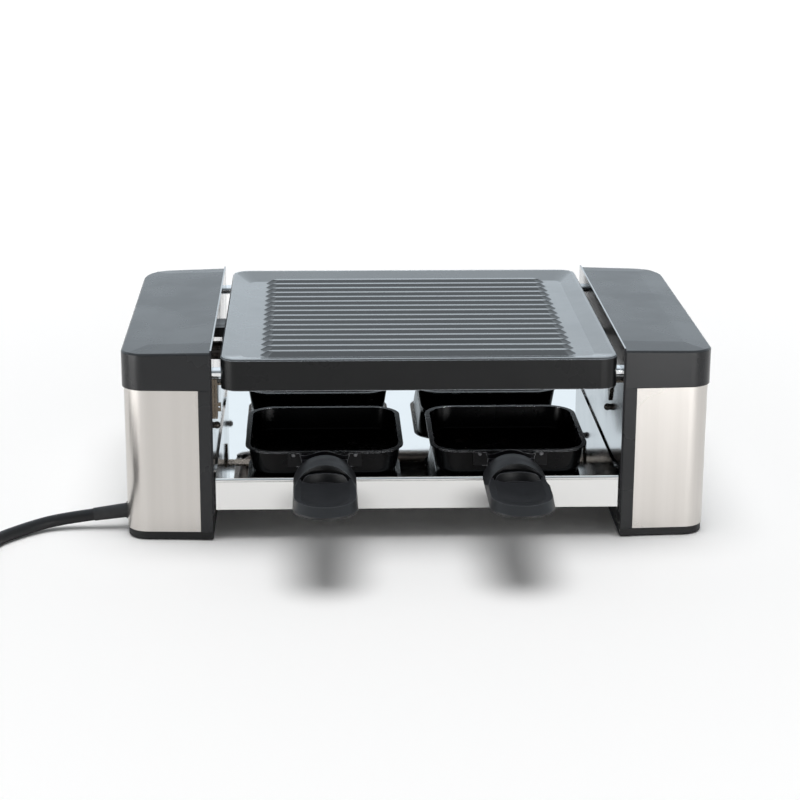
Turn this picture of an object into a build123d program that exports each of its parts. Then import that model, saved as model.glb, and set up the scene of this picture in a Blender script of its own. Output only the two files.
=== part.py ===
from build123d import *
from math import cos, radians, sin, sqrt, tan
import os

os.makedirs("parts", exist_ok=True)

# A four-person raclette grill. Millimetres, +Z up, -Y to the front, origin on the table
# under the middle of the grill.

# Driving dimensions
bay_width = 234.0
housing_width = 50.7
housing_depth = 212.2
housing_edge_height = 111.4
tray_top_height = 37.4
base_top_height = 5.2

# Clearances, fits and the overrun of every cut
running_fit = 0.05
loose_gap = 0.3
overrun = 1.0

# End housings: moulded cap, inner frame and base
skirt_height = 22.0
cap_wall = 2.5
cap_crown = 0.9
cap_fall = 1.2
cap_outer_drop = 0.9
cap_edge_break = 0.9
end_slant = 2.6
front_corner_radius = 14.0
rear_corner_radius = 19.0
front_slope_width = 20.0
rear_slope_width = 14.0
outer_slope_width = 15.0
frame_wall = 2.5
post_width = 7.0
post_depth = 12.0
boss_radius = 4.0
boss_end_inset = 45.0
boss_side_inset = 15.0
base_height = 4.4
base_inset = 1.5

# Side panels of brushed sheet
panel_sheet = 0.8
panel_inset = 1.0
panel_tuck = 1.5

# Polished side plates and the screws that hold them
side_sheet = 0.9
side_plate_proud = 0.5
side_plate_bottom = 15.0
side_plate_inset = 0.8
left_screw_end = 87.0
right_screw_end = 56.0
side_screw_share = 0.552
side_screw_radius = 1.6
side_screw_head_radius = 2.1
side_screw_collar_radius = 1.8
side_screw_collar_height = 0.5
side_screw_length = 7.0

# Feet and the screws that hold the bases
foot_radius = 6.0
foot_seat_depth = 1.0
base_screw_radius = 1.7
base_screw_head_radius = 3.4
base_screw_length = 14.0

# Tray with its folded lips
tray_sheet = 1.0
tray_depth = 209.2
tray_side_gap = 1.0
lip_drop = 18.9
lip_hem = 6.0
lip_bead_radius = 1.3
tray_flange_drop = 12.0
tray_rivet_radius = 1.5
tray_rivet_head_radius = 2.8
tray_rivet_head_height = 1.0
tray_rivet_place = 70.0

# Grill plate
plate_sink = 2.6
plate_side_gap = 4.2
plate_drift = 0.6
plate_depth = 221.2
plate_corner_radius = 10.0
skirt_drop = 18.2
plate_wall = 3.5
plate_floor_thickness = 4.0
rim_rise = 2.6
rim_top_width = 1.6
rim_side_width = 11.5
rim_end_width = 18.0
rim_edge_break = 0.8
floor_corner_radius = 5.0
field_shift = 3.1
rib_count = 16
rib_end_margin = 21.8
rib_height = 2.6
rib_crest_width = 3.0
rib_point = 4.5
rib_pitch = 11.7

# Pins that carry the grill plate, and the brackets under them
pin_radius = 3.0
pin_end_inset = 11.1
pin_drop = 10.2
pin_reach = 9.0
pin_shank_radius = 2.0
pin_end_break = 0.5
bracket_reach = 2.8
bracket_width = 6.0
bracket_sheet = 1.3
bracket_drop = 26.4
eyelet_hole_radius = 0.6
eyelet_reach = 2.0
eyelet_height = 5.0
eyelet_rise = 4.4

# Heating element
element_radius = 3.25
element_drop = 24.0
element_side_gap = 12.0
element_half_depth = 78.0
element_bend_radius = 16.0
element_terminal_place = 9.0
element_tail = 10.0
plate_stop_reach = 4.0
plate_stop_width = 22.0
plate_stop_rise = 11.0
plate_stop_height = 6.0
element_pin_radius = 1.2
element_pin_length = 9.0
bush_radius = 5.0
bush_collar_radius = 6.5
bush_collar_height = 2.0
bush_length = 5.5
clip_width = 10.0
clip_place = 56.0
clip_sheet = 1.2
clip_leg_height = 13.2
clip_leg_width = 16.0
clip_leg_tip = 2.0
clip_lip_height = 3.0

# Pans
pan_middle_gap = 15.4
pan_side_gap = 18.6
pan_row_gap = 28.0
pan_height = 15.0
pan_sheet = 1.0
pan_rim_width = 1.7
pan_rim_thickness = 0.8
pan_rim_corner_radius = 17.0
pan_draft = 9.0
pan_floor_radius = 3.0
rear_pan_shift = 3.5
pan_stand_gap = 0.3

# Handle bracket and rivets of each pan
strap_width = 42.0
strap_height = 8.4
strap_sheet = 1.2
strap_drop = 0.1
tongue_width = 26.0
tongue_top = 10.8
tongue_flange = 3.0
tongue_reach = 26.0
tab_half_width = 14.2
tab_wave_place = 11.2
tab_wave_shoulder = 6.5
tab_end_height = 14.1
tab_wave_height = 13.5
tab_shoulder_height = 14.7
tab_peak_height = 16.0
pan_rivet_radius = 0.8
pan_rivet_head_radius = 1.3
pan_rivet_head_height = 0.7
pan_rivet_head_taper = 30.0
pan_rivet_spacing = 35.2
pan_rivet_drop = 0.9

# Pan handle
handle_width = 35.2
handle_start = 4.8
handle_length = 83.8
handle_bottom = 5.7
handle_band_height = 1.1
handle_back_batter = 3.0
handle_front_batter = 11.0
handle_side_batter = 2.0
handle_root_top = 15.0
handle_root_arch = 24.0
handle_crest_top = 18.7
handle_crest_arch = 18.8
handle_tip_top = 14.5
handle_tip_arch = 60.0
shelf_top = 12.2
shelf_fall = 1.1
hood_edge_radius = 20.0
hood_edge_place = 49.9
hood_lip = 1.5
hood_pocket_radius = 16.0
hood_pocket_depth = 3.0
hood_pocket_floor = 9.5
ridge_half_width = 12.4
ridge_back_place = 2.0
ridge_side_place = 8.0
ridge_foot = 1.6
ridge_wall = 1.2
ridge_top = 14.7
ridge_corner = 3.5
dish_half_width = 13.2
dish_depth = 2.2
dish_front_place = 5.1
handle_screw_radius = 1.5
handle_screw_head_radius = 2.6
handle_screw_head_height = 1.4
handle_screw_length = 6.4
handle_screw_place = 12.0

# Wiring inside the left housing
wire_radius = 1.2
wire_bend_radius = 4.0
wire_lane = 6.0
stub_spacing = 2.5
stub_length = 7.0
wire_loop_reach = 11.5
wire_loop_start = 29.0
wiring_share = 0.4536
block_size = (18.0, 30.0, 12.0)
block_end = 34.0
block_screw_radius = 2.2
block_screw_height = 1.0
cutout_end = 46.0
cutout_rise = 10.0
cutout_radius = 8.0
cutout_height = 7.0
cutout_rim_radius = 10.5
cutout_rim_height = 1.5
cutout_tab_size = (4.0, 1.0, 6.0)
cutout_tab_spacing = 10.0
grip_size = (16.0, 8.0, 11.0)
grip_end = 64.6
inner_screw_radius = 1.3
inner_screw_head_radius = 2.1
inner_screw_head_height = 1.2
inner_screw_depth = 3.0
inner_screw_inset = 2.4
earth_ring_radius = 4.5
earth_ring_sheet = 0.8

# Mains cord
cord_diameter = 7.0
cord_exit_place = (-81.6, 11.0)
inner_lead_bend = 12.0
relief_length = 19.3
relief_root_radius = 4.2
relief_tip_radius = 3.8
relief_flange_radius = 5.0
relief_flange_thickness = 1.4
relief_neck_radius = 4.3
relief_inner_length = 8.0
cord_route = [
    (-187.0, -81.6, 8.3),
    (-205.5, -81.6, 5.8),
    (-221.5, -88.8, 4.1),
    (-245.1, -115.0, 3.6),
    (-245.1, -152.0, 3.6),
]
bend_share = 0.45

# Put-away coil and plug
coil_outer_radius = 48.0
coil_turn_pitch = 7.6
coil_layer_rise = 7.6
coil_half_turns_in_layer = 5
coil_end_bend_radius = 50.0
plug_tilt = 5.0
plug_disc_radius = 18.0
plug_disc_depth = 8.0
plug_waist_radius = 13.5
plug_waist_depth = 12.0
plug_shoulder_radius = 8.0
plug_shoulder_depth = 14.0
plug_relief_length = 18.0
plug_relief_radius = 5.2
plug_relief_tip_radius = 4.4
plug_pin_radius = 2.4
plug_pin_length = 19.0
plug_pin_seat = 5.0
plug_pin_spacing = 19.0
plug_pin_end_break = 1.0
plug_notch_width = 7.0
plug_notch_depth = 3.0
plug_earth_sheet = 0.8
plug_floor_gap = 0.05

# Sizes that follow from the ones above
housing_inner_x = bay_width / 2
housing_outer_x = housing_inner_x + housing_width
half_depth = housing_depth / 2
skirt_bottom = housing_edge_height - skirt_height
cap_top = housing_edge_height + cap_crown
ceiling_height = housing_edge_height - cap_fall - cap_outer_drop - cap_wall
frame_inner_x = housing_inner_x + frame_wall
base_bottom = base_top_height - base_height
side_plate_face = housing_inner_x - side_sheet
side_screw_height = base_top_height + side_screw_share * (housing_edge_height - base_top_height)
plate_half_width = side_plate_face - plate_side_gap
plate_top_height = housing_edge_height - plate_sink
plate_floor = plate_top_height - rim_rise
skirt_edge = plate_top_height - skirt_drop
pin_place = (plate_depth / 2 - pin_end_inset, plate_top_height - pin_drop)
bracket_bottom = pin_place[1] - bracket_drop
element_height = plate_top_height - element_drop
element_half_width = side_plate_face - element_side_gap
lip_bottom = tray_top_height - lip_drop
pan_base = tray_top_height + pan_stand_gap
pan_width = housing_inner_x - pan_side_gap - pan_middle_gap / 2
pan_length = (tray_depth - pan_row_gap) / 2
pan_body_width = pan_width - 2 * pan_rim_width
pan_body_length = pan_length - 2 * pan_rim_width
cord_radius = cord_diameter / 2
wiring_x = -(housing_inner_x + wiring_share * housing_width)
block_place = (wiring_x, -block_end)
grip_place = (wiring_x, -grip_end)
cutout_place = (cutout_end, side_screw_height + cutout_rise)


def finish(part, label):
    """Name one finished piece and write its file."""
    part.label = label
    export_step(part, f"parts/{label}.step")


def mirrored(part):
    """The same piece on the other side of the grill."""
    return part.mirror(Plane.YZ)


# Right-hand plan outlines, used by the cap, the base and the panel


def housing_plan(height, inset, inner_edge):
    """Plan of a housing, drawn in on its outer sides. Its ends slant back a little."""
    outer_edge = housing_outer_x - inset
    slant = end_slant / housing_width
    inner_end = half_depth - inset - slant * (inner_edge - housing_inner_x)
    outer_end = half_depth - inset - slant * (outer_edge - housing_inner_x)
    with BuildSketch(Plane.XY.offset(height)) as plan:
        with BuildLine():
            Polyline(
                (inner_edge, -inner_end),
                (outer_edge, -outer_end),
                (outer_edge, outer_end),
                (inner_edge, inner_end),
                close=True,
            )
        make_face()
        front = plan.vertices().group_by(Axis.X)[-1].sort_by(Axis.Y)[0]
        fillet(front, front_corner_radius - inset)
        rear = plan.vertices().group_by(Axis.X)[-1].sort_by(Axis.Y)[-1]
        fillet(rear, rear_corner_radius - inset)
    return plan.sketch


def cap_slopes():
    """The level but tilted middle of the cap, and the slopes of its borders."""
    fall = cap_fall / housing_width
    crown_outer_x = housing_outer_x - outer_slope_width
    crown_outer_z = cap_top - fall * (crown_outer_x - housing_inner_x)
    crown_front_y = front_slope_width - half_depth
    crown_rear_y = half_depth - rear_slope_width
    inner_front = Vector(housing_inner_x, crown_front_y, cap_top)
    inner_rear = Vector(housing_inner_x, crown_rear_y, cap_top)
    outer_front = Vector(crown_outer_x, crown_front_y, crown_outer_z)
    outer_rear = Vector(crown_outer_x, crown_rear_y, crown_outer_z)
    front_edge = Vector(housing_inner_x, -half_depth, cap_top - cap_crown)
    rear_edge = Vector(housing_inner_x, half_depth, cap_top - cap_crown)
    outer_fall = fall * outer_slope_width + cap_outer_drop
    outer_edge = Vector(housing_outer_x, crown_front_y, crown_outer_z - outer_fall)
    corners = (
        (inner_front, outer_front, inner_rear),
        (inner_front, front_edge, outer_front),
        (inner_rear, outer_rear, rear_edge),
        (outer_front, outer_edge, outer_rear),
    )
    return [Plane(origin=a, z_dir=(b - a).cross(c - a)) for a, b, c in corners]


def boss_places():
    """Middles of the two screw bosses of the right housing."""
    x = housing_outer_x - boss_side_inset
    y = half_depth - boss_end_inset
    return ((x, -y), (x, y))


def side_screw_end(element_side):
    """Distance of the side plate screws from the middle, wider on the wired side."""
    return left_screw_end if element_side else right_screw_end


def inner_screw_places():
    """Middles of the screws that hold the cord grip and the terminal block."""
    grip_x, grip_y = grip_place
    block_x, block_y = block_place
    grip_step = grip_size[0] / 2 - inner_screw_inset
    block_step = block_size[1] / 2 - inner_screw_inset
    return (
        (grip_x - grip_step, grip_y),
        (grip_x + grip_step, grip_y),
        (block_x - wire_lane / 2, block_y - block_step),
        (block_x + wire_lane / 2, block_y + block_step),
    )


def foot_places():
    """Middles of the two feet of the right housing."""
    x = (housing_inner_x + housing_outer_x) / 2
    y = half_depth - 2 * foot_radius - base_inset
    return ((x, -y), (x, y))


# Moulded cap with its inner frame, right hand


def housing(element_side):
    with BuildPart() as moulding:
        # Skirt, sloping top and broken edge
        extrude(housing_plan(skirt_bottom, 0, housing_inner_x), amount=cap_top - skirt_bottom)
        for slope in cap_slopes():
            split(bisect_by=slope, keep=Keep.BOTTOM)
        walls = moulding.faces().filter_by(lambda face: abs(face.normal_at().Z) < 0.1)
        outer_walls = walls.filter_by(lambda face: face.center().X > housing_inner_x + overrun)
        top_edges = [
            edge
            for edge in outer_walls.edges()
            if edge.center().Z > housing_edge_height - cap_fall - 2 * cap_outer_drop
            and abs(edge.tangent_at(0.5).Z) < 0.5
        ]
        chamfer(top_edges, cap_edge_break)
        # Hollow under the cap
        extrude(
            housing_plan(skirt_bottom - overrun, cap_wall, frame_inner_x),
            amount=ceiling_height - skirt_bottom + overrun,
            mode=Mode.SUBTRACT,
        )
        # Wall behind the polished side plate
        with BuildSketch(Plane.XY.offset(base_top_height)):
            with Locations(((housing_inner_x + frame_inner_x) / 2, 0)):
                Rectangle(frame_wall, housing_depth)
        extrude(amount=skirt_bottom - base_top_height)
        # Front and rear posts
        with BuildSketch(Plane.XY.offset(base_top_height)):
            for end in (-1, 1):
                with Locations(
                    (housing_inner_x + post_width / 2, end * (half_depth - post_depth / 2))
                ):
                    Rectangle(post_width, post_depth)
        extrude(amount=skirt_bottom - base_top_height)
        # Slots in the posts that take the ends of the steel panel
        slot_start = housing_inner_x + post_width - panel_tuck - running_fit
        slot_back = panel_inset + panel_sheet + running_fit
        with BuildSketch(Plane.XY.offset(base_top_height - overrun)):
            add(housing_plan(0, panel_inset - running_fit, slot_start))
            add(housing_plan(0, slot_back, slot_start - overrun), mode=Mode.SUBTRACT)
        extrude(amount=skirt_bottom - base_top_height + overrun, mode=Mode.SUBTRACT)
        # Bosses that the base screws turn into
        with BuildSketch(Plane.XY.offset(base_top_height)):
            with Locations(*boss_places()):
                Circle(boss_radius)
        extrude(amount=ceiling_height - base_top_height)
        with BuildSketch(Plane.XY.offset(base_top_height - overrun)):
            with Locations(*boss_places()):
                Circle(base_screw_radius + running_fit)
        extrude(amount=base_screw_length, mode=Mode.SUBTRACT)
        # Holes for the plate pins and the side plate screws
        with BuildSketch(Plane.YZ.offset(housing_inner_x - overrun)):
            for end in (-1, 1):
                with Locations((end * pin_place[0], pin_place[1])):
                    Circle(pin_shank_radius + running_fit)
                with Locations((end * side_screw_end(element_side), side_screw_height)):
                    Circle(side_screw_radius + running_fit)
        extrude(amount=frame_wall + 2 * overrun, mode=Mode.SUBTRACT)
        # Holes for the element's bushes, on the wired side only
        if element_side:
            with BuildSketch(Plane.YZ.offset(housing_inner_x - overrun)):
                with Locations(
                    (-element_terminal_place, element_height), (element_terminal_place, element_height)
                ):
                    Circle(bush_radius + running_fit)
            extrude(amount=frame_wall + 2 * overrun, mode=Mode.SUBTRACT)
    return moulding.part


finish(housing(False), "right_housing")
finish(mirrored(housing(True)), "left_housing")


# Brushed steel panels that wrap the outer side of each housing


def side_panel(cord_side):
    inner_edge = housing_inner_x + post_width - panel_tuck
    with BuildPart() as panel:
        extrude(
            housing_plan(base_top_height, panel_inset, inner_edge),
            amount=skirt_bottom - base_top_height,
        )
        extrude(
            housing_plan(base_top_height - overrun, panel_inset + panel_sheet, inner_edge - overrun),
            amount=skirt_bottom - base_top_height + 2 * overrun,
            mode=Mode.SUBTRACT,
        )
        if cord_side:
            with BuildSketch(Plane.YZ.offset(housing_outer_x - panel_inset - panel_sheet - overrun)):
                with Locations(cord_exit_place):
                    Circle(relief_neck_radius + running_fit)
            extrude(amount=panel_sheet + 2 * overrun, mode=Mode.SUBTRACT)
    return panel.part


finish(side_panel(False), "right_side_panel")
finish(mirrored(side_panel(True)), "left_side_panel")


# Polished side plates that line the bay


def side_plate(element_side):
    plate_top = cap_top + side_plate_proud
    half_length = half_depth - side_plate_inset
    with BuildPart() as plate:
        with BuildSketch(Plane.YZ.offset(side_plate_face)):
            with Locations((0, (side_plate_bottom + plate_top) / 2)):
                Rectangle(2 * half_length, plate_top - side_plate_bottom)
            for end in (-1, 1):
                with Locations((end * pin_place[0], pin_place[1])):
                    Circle(pin_shank_radius + running_fit, mode=Mode.SUBTRACT)
                with Locations((end * side_screw_end(element_side), side_screw_height)):
                    Circle(side_screw_radius + running_fit, mode=Mode.SUBTRACT)
                with Locations((end * tray_rivet_place, tray_top_height - tray_flange_drop / 2)):
                    Circle(tray_rivet_radius + running_fit, mode=Mode.SUBTRACT)
                if element_side:
                    with Locations((end * element_terminal_place, element_height)):
                        Circle(bush_radius + running_fit, mode=Mode.SUBTRACT)
        extrude(amount=side_sheet)
    return plate.part


finish(side_plate(False), "right_side_plate")
finish(mirrored(side_plate(True)), "left_side_plate")


# Bases


def base_plate(wired_side):
    with BuildPart() as base:
        extrude(housing_plan(base_bottom, base_inset, housing_inner_x), amount=base_height)
        with BuildSketch(Plane.XY.offset(base_bottom)):
            with Locations(*foot_places()):
                Circle(foot_radius + running_fit)
        extrude(amount=foot_seat_depth, mode=Mode.SUBTRACT)
        with Locations(*[(x, y, base_bottom) for x, y in boss_places()]):
            cone_depth = base_screw_head_radius - base_screw_radius
            Cone(
                base_screw_head_radius + running_fit,
                base_screw_radius + running_fit,
                cone_depth,
                align=(Align.CENTER, Align.CENTER, Align.MIN),
                mode=Mode.SUBTRACT,
            )
            Cylinder(
                base_screw_radius + running_fit,
                base_height + overrun,
                align=(Align.CENTER, Align.CENTER, Align.MIN),
                mode=Mode.SUBTRACT,
            )
        if wired_side:
            with BuildSketch(Plane.XY.offset(base_top_height - inner_screw_depth)):
                with Locations(*[(-x, y) for x, y in inner_screw_places()]):
                    Circle(inner_screw_radius + running_fit)
            extrude(amount=inner_screw_depth + overrun, mode=Mode.SUBTRACT)
    return base.part


finish(base_plate(False), "right_base")
finish(mirrored(base_plate(True)), "left_base")

both_feet = [(side * x, y) for side in (-1, 1) for x, y in foot_places()]
both_bosses = [(side * x, y) for side in (-1, 1) for x, y in boss_places()]

with BuildPart() as rubber_feet:
    with BuildSketch():
        with Locations(*both_feet):
            Circle(foot_radius)
    extrude(amount=base_bottom + foot_seat_depth)
    chamfer(rubber_feet.faces().group_by(Axis.Z)[0].edges(), foot_seat_depth / 2)

finish(rubber_feet.part, "rubber_feet")

with BuildPart() as base_screws:
    with Locations(*[(x, y, base_bottom) for x, y in both_bosses]):
        Cone(
            base_screw_head_radius,
            base_screw_radius,
            base_screw_head_radius - base_screw_radius,
            align=(Align.CENTER, Align.CENTER, Align.MIN),
        )
        Cylinder(
            base_screw_radius,
            base_screw_length,
            align=(Align.CENTER, Align.CENTER, Align.MIN),
        )

finish(base_screws.part, "base_screws")


# Screws of the side plates: a round head on a collar, a shank in the frame

with BuildPart() as side_screw:
    with BuildSketch(Plane.XZ):
        with BuildLine():
            collar = (side_screw_collar_radius, side_screw_collar_height)
            ball_rise = sqrt(side_screw_head_radius**2 - side_screw_collar_radius**2)
            ball_middle = side_screw_collar_height + ball_rise
            ball_top = ball_middle + side_screw_head_radius
            Polyline(
                (0, ball_top),
                (0, -side_screw_length),
                (side_screw_radius, -side_screw_length),
                (side_screw_radius, 0),
                (side_screw_collar_radius, 0),
                collar,
            )
            ThreePointArc(collar, (side_screw_head_radius, ball_middle), (0, ball_top))
        make_face()
    revolve(axis=Axis.Z)

with BuildPart() as side_plate_screws:
    for side in (-1, 1):
        for end in (-1, 1):
            screw_y = end * side_screw_end(side < 0)
            seat = Plane(
                origin=(side * side_plate_face, screw_y, side_screw_height),
                z_dir=(-side, 0, 0),
            )
            add(seat * side_screw.part)

finish(side_plate_screws.part, "side_plate_screws")


# Tray: top sheet, front and rear lips with a bead and a hem, end flanges

with BuildPart() as tray:
    tray_half_width = side_plate_face - tray_side_gap
    lip_face = tray_depth / 2
    with BuildSketch(Plane.YZ.offset(-tray_half_width)):
        with Locations((0, tray_top_height - tray_sheet / 2)):
            Rectangle(tray_depth, tray_sheet)
        for end in (-1, 1):
            with Locations((end * (lip_face - tray_sheet / 2), tray_top_height - lip_drop / 2)):
                Rectangle(tray_sheet, lip_drop)
            with Locations((end * (lip_face - lip_hem / 2), lip_bottom + tray_sheet / 2)):
                Rectangle(lip_hem, tray_sheet)
            bead_middle = (end * (lip_face - lip_bead_radius / 2), tray_top_height - lip_bead_radius)
            with Locations(bead_middle):
                Circle(lip_bead_radius)
    extrude(amount=2 * tray_half_width)
    for side in (-1, 1):
        flange_face = side * (tray_half_width - tray_sheet / 2)
        with BuildSketch(Plane.XY.offset(tray_top_height - tray_flange_drop)):
            with Locations((flange_face, 0)):
                Rectangle(tray_sheet, tray_depth - 4 * lip_hem)
        extrude(amount=tray_flange_drop - tray_sheet)
        with BuildSketch(Plane.YZ.offset(flange_face - tray_sheet)):
            for end in (-1, 1):
                with Locations((end * tray_rivet_place, tray_top_height - tray_flange_drop / 2)):
                    Circle(tray_rivet_radius + running_fit)
        extrude(amount=2 * tray_sheet, mode=Mode.SUBTRACT)

finish(tray.part, "tray")

with BuildPart() as tray_rivets:
    for side in (-1, 1):
        for end in (-1, 1):
            seat = Plane(
                origin=(
                    side * side_plate_face,
                    end * tray_rivet_place,
                    tray_top_height - tray_flange_drop / 2,
                ),
                z_dir=(-side, 0, 0),
            )
            # Collar between side plate and tray, head inside the flange, shank through both
            with BuildSketch(seat):
                Circle(tray_rivet_head_radius)
            extrude(amount=tray_side_gap)
            with BuildSketch(seat.offset(tray_side_gap + tray_sheet)):
                Circle(tray_rivet_head_radius)
            extrude(amount=tray_rivet_head_height)
            with BuildSketch(seat.offset(-side_sheet)):
                Circle(tray_rivet_radius)
            extrude(amount=side_sheet + tray_side_gap + tray_sheet)

finish(tray_rivets.part, "tray_rivets")


# Grill plate: cast shell with a banked rim and pointed ribs, on notches over the pins


def plate_plan(height, inset):
    """Plan of the grill plate, drawn in by inset."""
    with BuildSketch(Plane.XY.offset(height)) as plan:
        RectangleRounded(
            2 * (plate_half_width - inset), plate_depth - 2 * inset, plate_corner_radius - inset
        )
    return plan.sketch


def field_plan():
    """Plan of the plate's floor inside the banked rim, a little nearer the front."""
    with BuildSketch(Plane.XY.offset(plate_floor)) as plan:
        with Locations((0, -field_shift)):
            RectangleRounded(
                2 * (plate_half_width - rim_side_width),
                plate_depth - 2 * rim_end_width,
                floor_corner_radius,
            )
    return plan.sketch


def rib_plan(height, length, width, point):
    """Plan of one rib: a long hexagon with pointed ends."""
    with BuildSketch(Plane.XY.offset(height)) as plan:
        with BuildLine():
            Polyline(
                (-length / 2, 0),
                (point - length / 2, -width / 2),
                (length / 2 - point, -width / 2),
                (length / 2, 0),
                (length / 2 - point, width / 2),
                (point - length / 2, width / 2),
                close=True,
            )
        make_face()
    return plan.sketch


rib_span = 2 * (plate_half_width - rib_end_margin)
crest_length = rib_span - 2 * rib_point

with BuildPart() as rib:
    loft(
        [
            rib_plan(plate_floor, rib_span, rib_pitch, rib_point),
            rib_plan(plate_floor + rib_height, crest_length, rib_crest_width, rib_crest_width),
        ],
        ruled=True,
    )

with BuildPart() as grill_plate:
    # Outer shell with a broken top edge
    extrude(plate_plan(skirt_edge, 0), amount=skirt_drop - rim_edge_break)
    loft(
        [
            plate_plan(plate_top_height - rim_edge_break, 0),
            plate_plan(plate_top_height, rim_edge_break),
        ],
        ruled=True,
    )
    # Banked rim down to the floor
    loft(
        [
            field_plan(),
            plate_plan(plate_top_height, rim_edge_break + rim_top_width),
        ],
        ruled=True,
        mode=Mode.SUBTRACT,
    )
    # Hollow underneath
    extrude(
        plate_plan(skirt_edge - overrun, plate_wall),
        amount=plate_floor - plate_floor_thickness - skirt_edge + overrun,
        mode=Mode.SUBTRACT,
    )
    # Notches that sit over the pins
    for end in (-1, 1):
        notch_radius = pin_radius + loose_gap
        with BuildSketch(Plane.YZ.offset(-plate_half_width - overrun)):
            with Locations((end * pin_place[0], pin_place[1])):
                Circle(notch_radius)
            with Locations((end * pin_place[0], (pin_place[1] + skirt_edge - overrun) / 2)):
                Rectangle(2 * notch_radius, pin_place[1] - skirt_edge + overrun)
        extrude(amount=2 * (plate_half_width + overrun), mode=Mode.SUBTRACT)
    # Ribs
    with Locations((0, -field_shift)):
        with GridLocations(0, rib_pitch, 1, rib_count):
            add(rib.part)

finish(Pos(plate_drift, 0, 0) * grill_plate.part, "grill_plate")


# Plate pins, and the folded strip with an eyelet under the left front pin

with BuildPart() as plate_pins:
    for side in (-1, 1):
        for end in (-1, 1):
            seat = Plane(
                origin=(side * side_plate_face, end * pin_place[0], pin_place[1]),
                z_dir=(-side, 0, 0),
            )
            with BuildSketch(seat):
                Circle(pin_radius)
            extrude(amount=pin_reach)
            with BuildSketch(seat):
                Circle(pin_shank_radius)
            extrude(amount=-(side_sheet + frame_wall + overrun))
    pin_ends = plate_pins.edges().filter_by(GeomType.CIRCLE).filter_by(
        lambda edge: abs(edge.radius - pin_radius) < running_fit
        and abs(abs(edge.center().X) - (side_plate_face - pin_reach)) < running_fit
    )
    chamfer(pin_ends, pin_end_break)

finish(plate_pins.part, "plate_pins")

with BuildPart() as pin_bracket:
    strip_middle = bracket_reach / 2 - side_plate_face
    strip_top = pin_place[1] - pin_radius - loose_gap
    strip_front = -pin_place[0] - bracket_width / 2
    with BuildSketch(Plane.XY.offset(bracket_bottom)):
        with Locations((strip_middle, -pin_place[0])):
            Rectangle(bracket_reach, bracket_width)
        with Locations((strip_middle, strip_front + (bracket_width - bracket_sheet) / 2)):
            Rectangle(
                bracket_reach - 2 * bracket_sheet, bracket_width - bracket_sheet, mode=Mode.SUBTRACT
            )
    extrude(amount=strip_top - bracket_bottom)
    with BuildSketch(Plane.XZ.offset(-strip_front - bracket_sheet)):
        eyelet_middle = (
            bracket_reach - side_plate_face + eyelet_reach / 2,
            bracket_bottom + eyelet_rise + eyelet_height / 2,
        )
        with Locations(eyelet_middle):
            Rectangle(eyelet_reach, eyelet_height)
            Circle(eyelet_hole_radius, mode=Mode.SUBTRACT)
    extrude(amount=bracket_sheet)

finish(pin_bracket.part, "pin_bracket")


# Stop on the left side plate that keeps the grill plate off it

with BuildPart() as plate_stop:
    with BuildSketch(Plane.YZ.offset(-side_plate_face)):
        with Locations((0, element_height + plate_stop_rise + plate_stop_height / 2)):
            Rectangle(plate_stop_width, plate_stop_height)
    extrude(amount=plate_stop_reach)
    stop_face = plate_stop.faces().sort_by(Axis.X)[-1]
    chamfer(stop_face.edges(), pin_end_break)

finish(plate_stop.part, "plate_stop")


# Heating element: one tubular loop under the grill plate, both ends in the left housing

element_end = -(housing_inner_x + frame_wall + element_tail)

with BuildPart() as heating_element:
    with BuildLine() as element_path:
        FilletPolyline(
            (element_end, -element_terminal_place, element_height),
            (-element_half_width, -element_terminal_place, element_height),
            (-element_half_width, -element_half_depth, element_height),
            (element_half_width, -element_half_depth, element_height),
            (element_half_width, element_half_depth, element_height),
            (-element_half_width, element_half_depth, element_height),
            (-element_half_width, element_terminal_place, element_height),
            (element_end, element_terminal_place, element_height),
            radius=[
                element_bend_radius / 2,
                element_bend_radius,
                element_bend_radius,
                element_bend_radius,
                element_bend_radius,
                element_bend_radius / 2,
            ],
        )
    with BuildSketch(Plane(origin=element_path.line @ 0, z_dir=element_path.line % 0)):
        Circle(element_radius)
    sweep(path=element_path.line)

finish(heating_element.part, "heating_element")

with BuildPart() as element_pins:
    for end in (-1, 1):
        with BuildSketch(Plane.YZ.offset(element_end)):
            with Locations((end * element_terminal_place, element_height)):
                Circle(element_pin_radius)
        extrude(amount=-element_pin_length)

finish(element_pins.part, "element_pins")

with BuildPart() as element_bushes:
    for end in (-1, 1):
        with BuildSketch(Plane.YZ.offset(-side_plate_face)):
            with Locations((end * element_terminal_place, element_height)):
                Circle(bush_radius)
        extrude(amount=-bush_length)
        with BuildSketch(Plane.YZ.offset(-frame_inner_x)):
            with Locations((end * element_terminal_place, element_height)):
                Circle(bush_collar_radius)
        extrude(amount=-bush_collar_height)
        with BuildSketch(Plane.YZ.offset(-side_plate_face + overrun)):
            with Locations((end * element_terminal_place, element_height)):
                Circle(element_radius + running_fit)
        extrude(amount=-(bush_length + 2 * overrun), mode=Mode.SUBTRACT)

finish(element_bushes.part, "element_bushes")

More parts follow.
